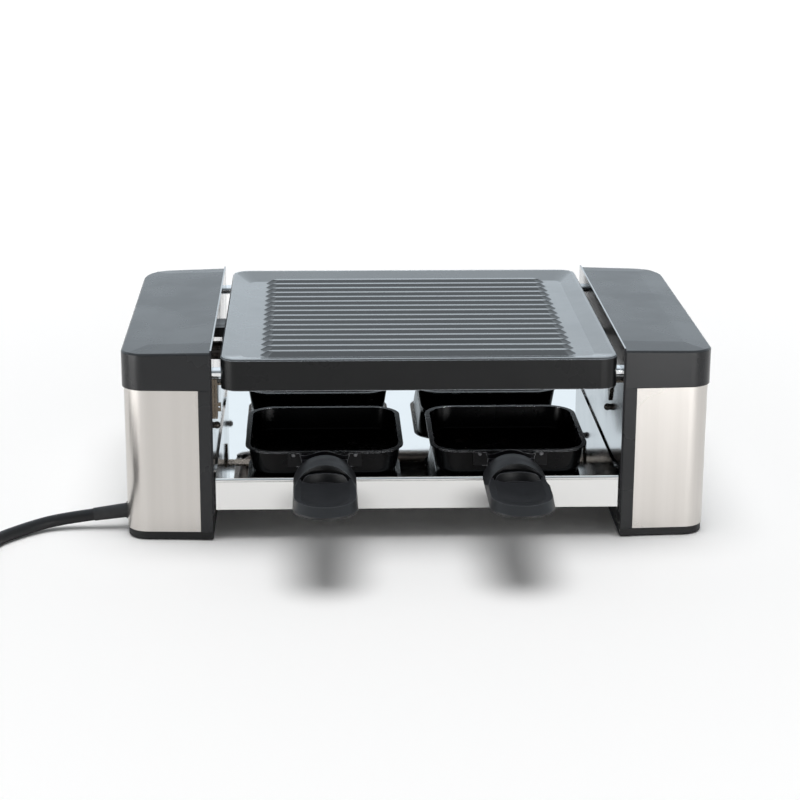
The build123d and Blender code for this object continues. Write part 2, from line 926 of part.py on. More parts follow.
with BuildPart() as right_clip:
    clip_seat = element_height - element_radius - loose_gap
    clip_reach = side_plate_face - element_half_width + element_radius + loose_gap + clip_sheet
    # Shelf under the element with a lip
    with BuildSketch(Plane.XZ.offset(-clip_width / 2)):
        with BuildLine():
            Polyline(
                (side_plate_face, clip_seat),
                (side_plate_face, clip_seat - clip_sheet),
                (side_plate_face - clip_reach, clip_seat - clip_sheet),
                (side_plate_face - clip_reach, clip_seat + clip_lip_height),
                (side_plate_face - clip_reach + clip_sheet, clip_seat + clip_lip_height),
                (side_plate_face - clip_reach + clip_sheet, clip_seat),
                close=True,
            )
        make_face()
    extrude(amount=clip_width)
    # Pointed leg on the side plate
    with BuildSketch(Plane.YZ.offset(side_plate_face - clip_sheet)):
        with BuildLine():
            Polyline(
                (-clip_leg_width / 2, clip_seat),
                (-clip_leg_tip / 2, clip_seat - clip_leg_height),
                (clip_leg_tip / 2, clip_seat - clip_leg_height),
                (clip_leg_width / 2, clip_seat),
                close=True,
            )
        make_face()
    extrude(amount=clip_sheet)

with BuildPart() as element_clips:
    for end in (-1, 1):
        add(Pos(0, end * clip_place, 0) * right_clip.part)
        add(Pos(0, end * clip_place, 0) * mirrored(right_clip.part))

finish(element_clips.part, "element_clips")


# Pans. Each is drawn at the origin, standing on z = 0 with its handle towards -Y, then placed.

pan_wall_lean = pan_height * tan(radians(pan_draft))
mouth_corner_radius = pan_rim_corner_radius - pan_rim_width
strap_top = pan_height - pan_rim_thickness - strap_drop
handle_back = pan_length / 2 + handle_start
handle_front = handle_back + handle_length


def pan_plan(height, inset, corner_radius):
    """Plan of the pan's body, drawn in by inset."""
    with BuildSketch(Plane.XY.offset(height)) as plan:
        RectangleRounded(pan_body_width - 2 * inset, pan_body_length - 2 * inset, corner_radius)
    return plan.sketch


def strap_plane(stand_off):
    """Plane parallel to the front wall of the pan, which leans out, at the top of the strap."""
    lean = radians(pan_draft)
    wall_place = pan_body_length / 2 - (pan_height - strap_top) * tan(lean)
    wall = Plane(
        origin=(0, -wall_place, strap_top),
        x_dir=(1, 0, 0),
        z_dir=(0, -cos(lean), -sin(lean)),
    )
    return wall.offset(stand_off)


def pan_rivet_places():
    step = pan_rivet_spacing / 2
    return ((-step, -pan_rivet_drop), (step, -pan_rivet_drop))


def pan_bowl():
    with BuildPart() as bowl:
        loft(
            [
                pan_plan(0, pan_wall_lean, mouth_corner_radius - pan_wall_lean),
                pan_plan(pan_height, 0, mouth_corner_radius),
            ],
            ruled=True,
        )
        fillet(bowl.faces().sort_by(Axis.Z)[0].edges(), pan_floor_radius)
        offset(amount=-pan_sheet, openings=bowl.faces().sort_by(Axis.Z)[-1])
        with BuildSketch(Plane.XY.offset(pan_height - pan_rim_thickness)):
            RectangleRounded(pan_width, pan_length, pan_rim_corner_radius)
            RectangleRounded(
                pan_body_width - 2 * pan_sheet,
                pan_body_length - 2 * pan_sheet,
                mouth_corner_radius - pan_sheet,
                mode=Mode.SUBTRACT,
            )
        extrude(amount=pan_rim_thickness)
        with BuildSketch(strap_plane(overrun)):
            with Locations(*pan_rivet_places()):
                Circle(pan_rivet_radius + running_fit)
        extrude(amount=-(pan_sheet + 2 * overrun), mode=Mode.SUBTRACT)
    return bowl.part


def pan_bracket():
    """Strap on the wall, channel-shaped tongue into the handle, wavy tab before the rim."""
    tongue_front = pan_length / 2 + tongue_reach
    with BuildPart() as bracket:
        add(tongue_channel(0, pan_body_length / 2 - pan_wall_lean, tongue_front))
        with BuildSketch(strap_plane(0)):
            Rectangle(strap_width + overrun, 4 * strap_height)
        extrude(amount=-4 * overrun, mode=Mode.SUBTRACT)
        with BuildSketch(strap_plane(0)):
            with Locations((0, -strap_height / 2)):
                Rectangle(strap_width, strap_height)
            with Locations(*pan_rivet_places()):
                Circle(pan_rivet_radius + running_fit, mode=Mode.SUBTRACT)
        extrude(amount=strap_sheet)
        with BuildSketch(Plane.XZ.offset(pan_length / 2 + loose_gap)):
            with BuildLine():
                edge = tab_half_width
                Polyline(
                    (-edge, tab_end_height),
                    (-tongue_width / 2, tongue_top - strap_sheet),
                    (tongue_width / 2, tongue_top - strap_sheet),
                    (edge, tab_end_height),
                )
                Spline(
                    (edge, tab_end_height),
                    (tab_wave_place, tab_wave_height),
                    (tab_wave_shoulder, tab_shoulder_height),
                    (0, tab_peak_height),
                    (-tab_wave_shoulder, tab_shoulder_height),
                    (-tab_wave_place, tab_wave_height),
                    (-edge, tab_end_height),
                )
            make_face()
        extrude(amount=strap_sheet)
        with BuildSketch(Plane.XY.offset(tongue_top - tongue_flange - overrun)):
            with Locations((0, -handle_back - handle_screw_place)):
                Circle(handle_screw_radius + running_fit)
        extrude(amount=tongue_flange + 2 * overrun, mode=Mode.SUBTRACT)
    return bracket.part


def tongue_channel(spare, back, front):
    """Tongue of the bracket, or with spare the slot for it in the handle."""
    outer_half = tongue_width / 2 + spare
    inner_half = tongue_width / 2 - strap_sheet - spare
    top = tongue_top + spare
    under = tongue_top - strap_sheet - spare
    foot = tongue_top - tongue_flange - spare
    with BuildPart() as channel:
        with BuildSketch(Plane.XZ.offset(back)):
            with BuildLine():
                Polyline(
                    (-outer_half, top),
                    (-outer_half, foot),
                    (-inner_half, foot),
                    (-inner_half, under),
                    (inner_half, under),
                    (inner_half, foot),
                    (outer_half, foot),
                    (outer_half, top),
                    close=True,
                )
            make_face()
        extrude(amount=front - back)
    return channel.part


def pan_rivets():
    with BuildPart() as rivets:
        with BuildSketch(strap_plane(strap_sheet)):
            with Locations(*pan_rivet_places()):
                Circle(pan_rivet_head_radius)
        extrude(amount=pan_rivet_head_height, taper=pan_rivet_head_taper)
        with BuildSketch(strap_plane(strap_sheet)):
            with Locations(*pan_rivet_places()):
                Circle(pan_rivet_radius)
        extrude(amount=-(strap_sheet + pan_sheet + running_fit))
        with BuildSketch(strap_plane(-pan_sheet)):
            with Locations(*pan_rivet_places()):
                Circle(pan_rivet_head_radius)
        extrude(amount=-pan_rivet_head_height / 2)
    return rivets.part


# Pan handle: an arched paddle with a hood, a thin curved ridge in front of it and a thumb dish


def paddle_plan(height, side_inset, back_inset, front_inset):
    """Plan of the handle with round ends."""
    back = handle_back + back_inset
    front = handle_front - front_inset
    width = handle_width - 2 * side_inset
    with BuildSketch(Plane.XY.offset(height)) as plan:
        with Locations((0, -(back + front) / 2)):
            SlotOverall(front - back, width, rotation=90)
    return plan.sketch


def arch(place, top, radius):
    """Round section across the handle, used for its arched top."""
    with BuildSketch(Plane.XZ.offset(place)) as section:
        with Locations((0, top - radius)):
            Circle(radius)
    return section.sketch


def handle_shell(skin):
    """Arched outside of the handle, drawn in by skin."""
    crest = handle_back + hood_edge_place - hood_edge_radius
    with BuildPart() as shell:
        loft(
            [
                arch(handle_back - overrun, handle_root_top - skin, handle_root_arch - skin),
                arch(crest, handle_crest_top - skin, handle_crest_arch - skin),
                arch(handle_front + overrun, handle_tip_top - skin, handle_tip_arch - skin),
            ]
        )
    return shell.part


def hood_front(height):
    """Plan of everything in front of the hood's curved front edge."""
    edge_middle = handle_back + hood_edge_place
    front = handle_front + overrun
    with BuildSketch(Plane.XY.offset(height)) as plan:
        with Locations((0, -edge_middle)):
            Circle(hood_edge_radius)
        with Locations((0, -(edge_middle + front) / 2)):
            Rectangle(handle_width + 2 * overrun, front - edge_middle)
    return plan.sketch


def ridge_plan(height, thickness):
    """Plan of the curved ridge between the hood and the thumb dish."""
    crest = handle_back + hood_edge_place - hood_edge_radius
    middle = -crest - ridge_back_place
    end = -crest - ridge_side_place
    half = ridge_half_width
    with BuildSketch(Plane.XY.offset(height)) as plan:
        with BuildLine():
            ThreePointArc((-half, end), (0, middle), (half, end))
            Line((half, end), (half, end - thickness))
            ThreePointArc((half, end - thickness), (0, middle - thickness), (-half, end - thickness))
            Line((-half, end - thickness), (-half, end))
        make_face()
    return plan.sketch


def thumb_dish():
    """Round trough along the sloping shelf that ends in a ball at the front."""
    crest = handle_back + hood_edge_place - hood_edge_radius
    shelf_length = handle_front - crest
    trough_length = shelf_length - dish_front_place - dish_half_width
    radius = (dish_half_width**2 + dish_depth**2) / (2 * dish_depth)
    shelf = Plane(
        origin=(0, -crest, shelf_top), x_dir=(1, 0, 0), z_dir=(0, -shelf_fall, shelf_length)
    )
    with BuildPart() as dish:
        with Locations(shelf * Location((0, -trough_length / 2, radius - dish_depth))):
            Cylinder(radius, trough_length, rotation=(90, 0, 0))
        with Locations(shelf * Location((0, -trough_length, radius - dish_depth))):
            Sphere(radius)
        # Only as far back as the hood's edge
        extrude(hood_front(handle_bottom), amount=handle_crest_top, mode=Mode.INTERSECT)
    return dish.part


def pan_handle():
    half_width = handle_width / 2
    crest = handle_back + hood_edge_place - hood_edge_radius
    shelf_front_top = shelf_top - shelf_fall
    band_top = handle_bottom + handle_band_height
    with BuildPart() as handle:
        # Paddle with battered sides, under an arched top
        extrude(paddle_plan(handle_bottom, 0, 0, 0), amount=handle_band_height)
        loft(
            [
                paddle_plan(band_top, 0, 0, 0),
                paddle_plan(
                    handle_crest_top, handle_side_batter, handle_back_batter, handle_front_batter
                ),
            ],
            ruled=True,
        )
        add(handle_shell(0), mode=Mode.INTERSECT)
        # Shelf in front of the hood, falling a little to the front
        with BuildPart(mode=Mode.PRIVATE) as shelf_cut:
            extrude(hood_front(shelf_top - 2 * shelf_fall), amount=handle_crest_top)
            with BuildSketch(Plane.YZ.offset(-half_width - overrun)):
                with BuildLine():
                    Polyline(
                        (-crest + overrun, shelf_top),
                        (-handle_front, shelf_front_top),
                        (-handle_front - 2 * overrun, shelf_front_top),
                        (-handle_front - 2 * overrun, handle_crest_top + overrun),
                        (-crest + overrun, handle_crest_top + overrun),
                        close=True,
                    )
                make_face()
            extrude(amount=handle_width + 2 * overrun, mode=Mode.INTERSECT)
        add(shelf_cut.part, mode=Mode.SUBTRACT)
        # Recess in front of the hood's edge, and its pocket under the hood
        recess_end = crest + ridge_side_place
        for back, radius, skin in (
            (crest, hood_edge_radius, -overrun),
            (crest - hood_pocket_depth, hood_pocket_radius, hood_lip),
        ):
            with BuildPart(mode=Mode.PRIVATE) as recess_cut:
                with BuildSketch(Plane.XY.offset(hood_pocket_floor)):
                    with Locations((0, -back - radius)):
                        Circle(radius)
                    with Locations((0, -recess_end - radius)):
                        Rectangle(2 * radius, 2 * radius, mode=Mode.SUBTRACT)
                    with Locations((0, -recess_end)):
                        Rectangle(2 * dish_half_width, 2 * radius, mode=Mode.INTERSECT)
                extrude(amount=handle_crest_top)
                add(handle_shell(skin), mode=Mode.INTERSECT)
            add(recess_cut.part, mode=Mode.SUBTRACT)
        add(thumb_dish(), mode=Mode.SUBTRACT)
        # Ridge with a leaning front and round upper corners
        ridge_base = hood_pocket_floor - overrun
        with BuildPart(mode=Mode.PRIVATE) as ridge:
            loft([ridge_plan(ridge_base, ridge_foot), ridge_plan(ridge_top, ridge_wall)], ruled=True)
            with BuildSketch(Plane.XZ.offset(handle_back)):
                with Locations((0, ridge_top - handle_crest_top / 2)):
                    RectangleRounded(2 * ridge_half_width, handle_crest_top, ridge_corner)
            extrude(amount=handle_length, mode=Mode.INTERSECT)
        add(ridge.part)
        # Slot for the tongue, and the screw hole from below
        slot_front = pan_length / 2 + tongue_reach + running_fit
        add(tongue_channel(running_fit, handle_back - overrun, slot_front), mode=Mode.SUBTRACT)
        with BuildSketch(Plane.XY.offset(handle_bottom - overrun)):
            with Locations((0, -handle_back - handle_screw_place)):
                Circle(handle_screw_radius + running_fit)
        extrude(amount=handle_screw_length + 2 * overrun, mode=Mode.SUBTRACT)
        with BuildSketch(Plane.XY.offset(handle_bottom - overrun)):
            with Locations((0, -handle_back - handle_screw_place)):
                Circle(handle_screw_head_radius + running_fit)
        extrude(amount=handle_screw_head_height + overrun, mode=Mode.SUBTRACT)
    return handle.part


def handle_screw():
    with BuildPart() as screw:
        with BuildSketch(Plane.XY.offset(handle_bottom)):
            with Locations((0, -handle_back - handle_screw_place)):
                Circle(handle_screw_head_radius)
        extrude(amount=handle_screw_head_height)
        with BuildSketch(Plane.XY.offset(handle_bottom)):
            with Locations((0, -handle_back - handle_screw_place)):
                Circle(handle_screw_radius)
        extrude(amount=handle_screw_length)
    return screw.part


pan_pieces = {
    "pan": pan_bowl(),
    "pan_bracket": pan_bracket(),
    "pan_rivets": pan_rivets(),
    "handle": pan_handle(),
    "handle_screw": handle_screw(),
}
pan_x = (pan_width + pan_middle_gap) / 2
pan_y = (pan_length + pan_row_gap) / 2
pan_places = {
    "front_left": (-pan_x, -pan_y, 0),
    "front_right": (pan_x, -pan_y, 0),
    "rear_left": (-pan_x - rear_pan_shift, pan_y, 180),
    "rear_right": (pan_x - rear_pan_shift, pan_y, 180),
}

for where, (x, y, turn) in pan_places.items():
    for piece_name, piece in pan_pieces.items():
        placed = Pos(x, y, pan_base) * Rot(0, 0, turn) * piece
        finish(placed, f"{where}_{piece_name}")


# Parts inside the left housing

with BuildPart() as thermal_cutout:
    cutout_face = -frame_inner_x
    with BuildSketch(Plane.YZ.offset(cutout_face)):
        with Locations(cutout_place):
            Circle(cutout_rim_radius)
    extrude(amount=-cutout_rim_height)
    with BuildSketch(Plane.YZ.offset(cutout_face)):
        with Locations(cutout_place):
            Circle(cutout_radius)
    extrude(amount=-(cutout_rim_height + cutout_height))
    tab_back = cutout_face - cutout_rim_height - cutout_height
    with BuildSketch(Plane.YZ.offset(tab_back)):
        for end in (-1, 1):
            with Locations((cutout_place[0] + end * cutout_tab_spacing / 2, cutout_place[1])):
                Rectangle(cutout_tab_size[1], cutout_tab_size[2])
    extrude(amount=-cutout_tab_size[0])

finish(thermal_cutout.part, "thermal_cutout")

with BuildPart() as terminal_block:
    with BuildSketch(Plane.XY.offset(base_top_height)):
        with Locations(block_place):
            Rectangle(block_size[0], block_size[1])
    extrude(amount=block_size[2])
    with BuildSketch(Plane.XY.offset(base_top_height + block_size[2])):
        with Locations(block_place):
            with GridLocations(wire_lane, block_size[1] / 3, 3, 2):
                Circle(block_screw_radius)
    extrude(amount=block_screw_height)
    with BuildSketch(Plane.XY.offset(base_top_height - overrun)):
        with Locations(*inner_screw_places()[2:]):
            Circle(inner_screw_radius + running_fit)
    extrude(amount=block_size[2] + block_screw_height + 2 * overrun, mode=Mode.SUBTRACT)
    with BuildSketch(Plane.XY.offset(base_top_height + block_size[2] - inner_screw_head_height)):
        with Locations(*inner_screw_places()[2:]):
            Circle(inner_screw_head_radius + running_fit)
    extrude(amount=block_screw_height + inner_screw_head_height + overrun, mode=Mode.SUBTRACT)

finish(terminal_block.part, "terminal_block")

with BuildPart() as cord_grip:
    with BuildSketch(Plane.XY.offset(base_top_height)):
        with Locations(grip_place):
            Rectangle(grip_size[0], grip_size[1])
    extrude(amount=grip_size[2])
    with BuildSketch(Plane.XZ.offset(-grip_place[1] - grip_size[1])):
        with Locations((grip_place[0], cord_exit_place[1])):
            Circle(cord_radius + running_fit)
    extrude(amount=2 * grip_size[1], mode=Mode.SUBTRACT)
    with BuildSketch(Plane.XY.offset(base_top_height - overrun)):
        with Locations(*inner_screw_places()[:2]):
            Circle(inner_screw_radius + running_fit)
    extrude(amount=grip_size[2] + 2 * overrun, mode=Mode.SUBTRACT)

finish(cord_grip.part, "cord_grip")

with BuildPart() as inner_screws:
    for number, (x, y) in enumerate(inner_screw_places()):
        if number < 2:
            head_base = base_top_height + grip_size[2]
        else:
            head_base = base_top_height + block_size[2] - inner_screw_head_height
        with BuildSketch(Plane.XY.offset(head_base)):
            with Locations((x, y)):
                Circle(inner_screw_head_radius)
        extrude(amount=inner_screw_head_height)
        with BuildSketch(Plane.XY.offset(head_base)):
            with Locations((x, y)):
                Circle(inner_screw_radius)
        extrude(amount=-(head_base - base_top_height + inner_screw_depth))

finish(inner_screws.part, "inner_screws")


# Wires. Each runs from point to point with rounded corners.


def wire(points, radii, radius):
    with BuildPart() as strand:
        with BuildLine() as route:
            FilletPolyline(*points, radius=radii)
        with BuildSketch(Plane(origin=route.line @ 0, z_dir=route.line % 0)):
            Circle(radius)
        sweep(path=route.line)
    return strand.part


lead_height = cord_exit_place[1]
block_front = block_place[1] - block_size[1] / 2
block_rear = block_place[1] + block_size[1] / 2
lead_end = block_front - stub_length
relief_inner_end = relief_inner_length - housing_outer_x + panel_inset + panel_sheet

inner_lead = wire(
    [
        (relief_inner_end, cord_exit_place[0], lead_height),
        (grip_place[0], cord_exit_place[0], lead_height),
        (grip_place[0], lead_end, lead_height),
    ],
    [inner_lead_bend],
    cord_radius,
)
finish(inner_lead, "inner_lead")


def stub(lane):
    """Bared wire between the end of the lead and the terminal block."""
    with BuildPart() as strand:
        with BuildSketch(Plane.XZ.offset(-lead_end)):
            with Locations((grip_place[0] + lane * stub_spacing, lead_height)):
                Circle(wire_radius)
        extrude(amount=-stub_length)
    return strand.part


tab_end = -(frame_inner_x + cutout_rim_height + cutout_height + cutout_tab_size[0])
pin_end = element_end - element_pin_length
loop_x = pin_end - wire_loop_reach
cutout_near = cutout_place[0] - cutout_tab_spacing / 2
cutout_far = cutout_place[0] + cutout_tab_spacing / 2

with BuildPart() as live_wires:
    add(stub(-1))
    live_lane = block_place[0] - wire_lane
    add(
        wire(
            [
                (live_lane, block_rear, lead_height),
                (live_lane, cutout_near, lead_height),
                (live_lane, cutout_near, cutout_place[1]),
                (tab_end, cutout_near, cutout_place[1]),
            ],
            [wire_bend_radius, wire_bend_radius],
            wire_radius,
        )
    )
    add(
        wire(
            [
                (tab_end, cutout_far, cutout_place[1]),
                (loop_x, cutout_far, cutout_place[1]),
                (loop_x, element_terminal_place, element_height),
                (pin_end, element_terminal_place, element_height),
            ],
            [wire_bend_radius, wire_bend_radius],
            wire_radius,
        )
    )

finish(live_wires.part, "live_wires")

with BuildPart() as neutral_wires:
    add(stub(0))
    add(
        wire(
            [
                (block_place[0], block_rear, lead_height),
                (block_place[0], -element_terminal_place, lead_height),
                (loop_x, -element_terminal_place, lead_height + wire_loop_start),
                (loop_x, -element_terminal_place, element_height),
                (pin_end, -element_terminal_place, element_height),
            ],
            [wire_bend_radius, wire_bend_radius, wire_bend_radius],
            wire_radius,
        )
    )

finish(neutral_wires.part, "neutral_wires")

with BuildPart() as earth_wires:
    add(stub(1))
    earth_lane = block_place[0] + wire_lane
    ring_face = -frame_inner_x
    earth_x = ring_face - earth_ring_sheet - wire_radius
    add(
        wire(
            [
                (earth_lane, block_rear, lead_height),
                (earth_lane, block_rear + 2 * wire_bend_radius, lead_height),
                (earth_x, block_rear + 2 * wire_bend_radius, side_screw_height),
                (earth_x, side_screw_radius + loose_gap - left_screw_end, side_screw_height),
            ],
            [wire_bend_radius, wire_bend_radius],
            wire_radius,
        )
    )
    with BuildSketch(Plane.YZ.offset(ring_face)):
        with Locations((-left_screw_end, side_screw_height)):
            Circle(earth_ring_radius)
            Circle(side_screw_radius + running_fit, mode=Mode.SUBTRACT)
    extrude(amount=-earth_ring_sheet)

finish(earth_wires.part, "earth_wires")


# Strain relief in the left panel, and the free stretch of the cord

panel_face = panel_inset - housing_outer_x
route_points = [Vector(*point) for point in cord_route]
cord_heading = (route_points[1] - route_points[0]).normalized()

with BuildPart() as strain_relief:
    with BuildSketch(Plane.YZ.offset(panel_face)):
        with Locations(cord_exit_place):
            Circle(relief_flange_radius)
    extrude(amount=-relief_flange_thickness)
    with BuildSketch(Plane.YZ.offset(panel_face)):
        with Locations(cord_exit_place):
            Circle(relief_neck_radius)
    extrude(amount=panel_sheet)
    with BuildSketch(Plane.YZ.offset(panel_face + panel_sheet)):
        with Locations(cord_exit_place):
            Circle(relief_flange_radius)
    extrude(amount=relief_flange_thickness)
    with BuildSketch(Plane.YZ.offset(panel_face + panel_sheet)):
        with Locations(cord_exit_place):
            Circle(relief_neck_radius)
    extrude(amount=relief_inner_length)
    tip = Plane(origin=route_points[0], x_dir=(0, 1, 0), z_dir=cord_heading)
    with BuildSketch(tip) as tip_section:
        Circle(relief_tip_radius)
    with BuildSketch(tip.offset(-relief_length)) as root_section:
        Circle(relief_root_radius)
    loft([root_section.sketch, tip_section.sketch], ruled=True)

finish(strain_relief.part, "strain_relief")

route_radii = []
for before, corner, after in zip(route_points, route_points[1:], route_points[2:]):
    half_turn = radians((corner - before).get_angle(after - corner)) / 2
    shorter_run = min((corner - before).length, (after - corner).length)
    route_radii.append(bend_share * shorter_run / tan(half_turn))

power_cord = wire(route_points, route_radii, cord_radius)
finish(power_cord, "power_cord")


# Coil of the put-away length: spirals in, climbs a layer, spirals out again

coil_start = route_points[-1]
spiral_start = coil_start - Vector(0, cord_diameter, 0)
layer_count = coil_half_turns_in_layer
coil_lines = [Line(coil_start, spiral_start)]
place = spiral_start
heading = Vector(0, -1, 0)
side = 1

for number in range(2 * layer_count + 1):
    steps_in = layer_count - abs(layer_count - number)
    turn_radius = coil_outer_radius - steps_in * coil_turn_pitch / 2
    rise = coil_layer_rise if number == layer_count else 0
    reach = sqrt(turn_radius**2 + rise**2 / 4)
    across = Vector(-side * turn_radius, 0, 0)
    along = heading * reach
    middle = place + across + along + Vector(0, 0, rise / 2)
    finish_point = place + across * 2 + Vector(0, 0, rise)
    first = TangentArc(place, middle, tangent=heading)
    second = TangentArc(middle, finish_point, tangent=first % 1)
    coil_lines += [first, second]
    place = finish_point
    heading = heading * -1
    side = -side

tilt = radians(plug_tilt)
end_lift = coil_end_bend_radius * (1 - cos(tilt))
end_reach = coil_end_bend_radius * sin(tilt)
bend_end = place + Vector(0, end_reach, end_lift)
coil_lines.append(TangentArc(place, bend_end, tangent=heading))
plug_length = plug_relief_length + plug_shoulder_depth + plug_waist_depth + plug_disc_depth
disc_reach = plug_length - plug_disc_depth
tail_height = plug_disc_radius * cos(tilt) - disc_reach * sin(tilt) + plug_floor_gap
straight_length = (tail_height - bend_end.Z) / sin(tilt)
plug_axis = Vector(0, cos(tilt), sin(tilt))
coil_end = bend_end + plug_axis * straight_length
coil_lines.append(Line(bend_end, coil_end))
coil_path = Wire([line.edge() for line in coil_lines])

with BuildPart() as cord_coil:
    with BuildSketch(Plane(origin=coil_start, z_dir=(0, -1, 0))):
        Circle(cord_radius)
    sweep(path=coil_path)

finish(cord_coil.part, "cord_coil")


# Plug beside the coil, resting on the edge of its disc

plug_plane = Plane(origin=coil_end, x_dir=(1, 0, 0), z_dir=plug_axis)

with BuildPart() as plug_local:
    with BuildSketch(Plane.XZ):
        with BuildLine():
            shoulder = plug_relief_length
            waist = shoulder + plug_shoulder_depth
            disc = waist + plug_waist_depth
            Polyline(
                (0, 0),
                (plug_relief_tip_radius, 0),
                (plug_relief_radius, shoulder),
                (plug_shoulder_radius, shoulder),
                (plug_waist_radius, waist),
                (plug_waist_radius, disc),
                (plug_disc_radius, disc),
                (plug_disc_radius, plug_length),
                (0, plug_length),
                close=True,
            )
        make_face()
    revolve(axis=Axis.Z)
    with BuildSketch(Plane.XY.offset(disc - overrun)):
        for end in (-1, 1):
            with Locations((0, end * (plug_disc_radius + overrun - plug_notch_depth / 2))):
                Rectangle(plug_notch_width, plug_notch_depth + 2 * overrun)
    extrude(amount=plug_disc_depth + 2 * overrun, mode=Mode.SUBTRACT)
    with BuildSketch(Plane.XY.offset(plug_length - plug_pin_seat)):
        with GridLocations(plug_pin_spacing, 0, 2, 1):
            Circle(plug_pin_radius + running_fit)
    extrude(amount=plug_pin_seat + overrun, mode=Mode.SUBTRACT)

finish(plug_plane * plug_local.part, "plug_body")

with BuildPart() as pins_local:
    with BuildSketch(Plane.XY.offset(plug_length - plug_pin_seat)):
        with GridLocations(plug_pin_spacing, 0, 2, 1):
            Circle(plug_pin_radius)
    extrude(amount=plug_pin_seat + plug_pin_length)
    chamfer(pins_local.faces().group_by(Axis.Z)[-1].edges(), plug_pin_end_break)
    notch_floor = plug_disc_radius - plug_notch_depth
    with BuildSketch(Plane.XY.offset(disc)):
        for end in (-1, 1):
            with Locations((0, end * (notch_floor + plug_earth_sheet / 2))):
                Rectangle(plug_notch_width - 2 * loose_gap, plug_earth_sheet)
    extrude(amount=plug_disc_depth)

finish(plug_plane * pins_local.part, "plug_pins")
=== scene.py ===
import bpy
from math import cos, pi, radians, sin
from mathutils import Matrix, Vector


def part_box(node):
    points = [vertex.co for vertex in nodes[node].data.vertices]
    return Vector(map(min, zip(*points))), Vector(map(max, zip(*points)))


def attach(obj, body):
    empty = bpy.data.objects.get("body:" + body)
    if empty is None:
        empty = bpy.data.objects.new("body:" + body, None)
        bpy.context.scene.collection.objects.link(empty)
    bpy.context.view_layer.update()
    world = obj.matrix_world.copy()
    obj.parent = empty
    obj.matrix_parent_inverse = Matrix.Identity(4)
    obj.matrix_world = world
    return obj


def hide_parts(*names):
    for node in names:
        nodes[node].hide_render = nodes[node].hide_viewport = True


# A raclette grill for four pans. Metres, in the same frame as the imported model.

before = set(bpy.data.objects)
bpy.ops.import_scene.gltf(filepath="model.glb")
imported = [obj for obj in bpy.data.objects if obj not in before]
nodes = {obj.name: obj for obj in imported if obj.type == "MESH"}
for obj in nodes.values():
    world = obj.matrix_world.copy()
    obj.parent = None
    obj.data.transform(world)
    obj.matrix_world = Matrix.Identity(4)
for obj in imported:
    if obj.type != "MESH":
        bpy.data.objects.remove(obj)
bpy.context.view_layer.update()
scene = bpy.context.scene

# Camera, worked out from the photograph's perspective

camera_place = Vector((-0.0573, -1.25161, 0.42314))
camera_pitch = radians(16.494)
camera_yaw = radians(2.345)
camera_roll = radians(0.289)
focal_pixels = 2120.26
image_pixels = 800
sensor_width = 36.0
clip_near = 0.05
clip_far = 60.0

forward = Vector(
    (
        sin(camera_yaw) * cos(camera_pitch),
        cos(camera_yaw) * cos(camera_pitch),
        -sin(camera_pitch),
    )
)
level_right = Vector((cos(camera_yaw), -sin(camera_yaw), 0))
level_up = level_right.cross(forward)
right = level_right * cos(camera_roll) + level_up * sin(camera_roll)
up = level_up * cos(camera_roll) - level_right * sin(camera_roll)

camera_data = bpy.data.cameras.new("camera")
camera_data.sensor_width = sensor_width
camera_data.lens = focal_pixels / image_pixels * sensor_width
camera_data.clip_start = clip_near
camera_data.clip_end = clip_far
camera = bpy.data.objects.new("camera", camera_data)
camera.matrix_world = Matrix(
    (
        (right.x, up.x, -forward.x, camera_place.x),
        (right.y, up.y, -forward.y, camera_place.y),
        (right.z, up.z, -forward.z, camera_place.z),
        (0, 0, 0, 1),
    )
)
scene.collection.objects.link(camera)
scene.camera = camera

# Shader nodes: short calls for the materials and for the studio

white = (1.0, 1.0, 1.0)


def opaque(colour):
    """Adds the alpha to a plain colour, and leaves a node's output as it is."""
    return (*colour, 1) if isinstance(colour, tuple) else colour


class NodeTree:
    """Adds nodes to a tree and joins them."""

    def __init__(self, tree):
        self.tree = tree

    def add(self, kind):
        return self.tree.nodes.new(f"ShaderNode{kind}")

    def fill(self, node, inputs):
        """Gives each named or numbered input a plain value or another node's output."""
        for name, value in inputs.items():
            if isinstance(value, bpy.types.NodeSocket):
                self.tree.links.new(value, node.inputs[name])
            else:
                node.inputs[name].default_value = value

    def steps(self, value, start, end, start_value=0.0, end_value=1.0):
        """Takes value from start..end to start_value..end_value, with clamped ends."""
        node = self.add("MapRange")
        self.fill(node, {"Value": value, "From Min": start, "From Max": end})
        self.fill(node, {"To Min": start_value, "To Max": end_value})
        return node.outputs["Result"]

    def mixed(self, share, first, second):
        """A colour that goes from the first to the second with the share."""
        node = self.add("Mix")
        node.data_type = "RGBA"
        self.fill(node, {"Factor": share, "A": opaque(first), "B": opaque(second)})
        return node.outputs["Result"]

    def calculated(self, operation, first, second=0.0):
        node = self.add("Math")
        node.operation = operation
        self.fill(node, {0: first, 1: second})
        return node.outputs["Value"]

    def distance_from_zero(self, value):
        return self.calculated("ABSOLUTE", value)

    def part_along(self, axis, vector):
        node = self.add("SeparateXYZ")
        self.fill(node, {"Vector": vector})
        return node.outputs[axis]

    def vector_value(self, operation, *vectors):
        """A number worked out from vectors, such as a length or a dot product."""
        node = self.add("VectorMath")
        node.operation = operation
        self.fill(node, dict(enumerate(vectors)))
        return node.outputs["Value"]


# Materials: one Principled shader each, with textures in object coordinates

# Most of a noise lies between these values
noise_low = 0.3
noise_high = 0.7
bevel_samples = 6
# Dot products of a face with its bevelled normal, on an open face and on an edge, where the mask
# carries wear and painted highlights
open_face = 0.99
wear_and_highlight_edge = 0.85
# Least part of the direction along Y of a face that looks to the front or the back
front_face = 0.7
# Parts of the direction along Z, on a steep face and on a level one
steep_face = 0.2
level_face = 0.9


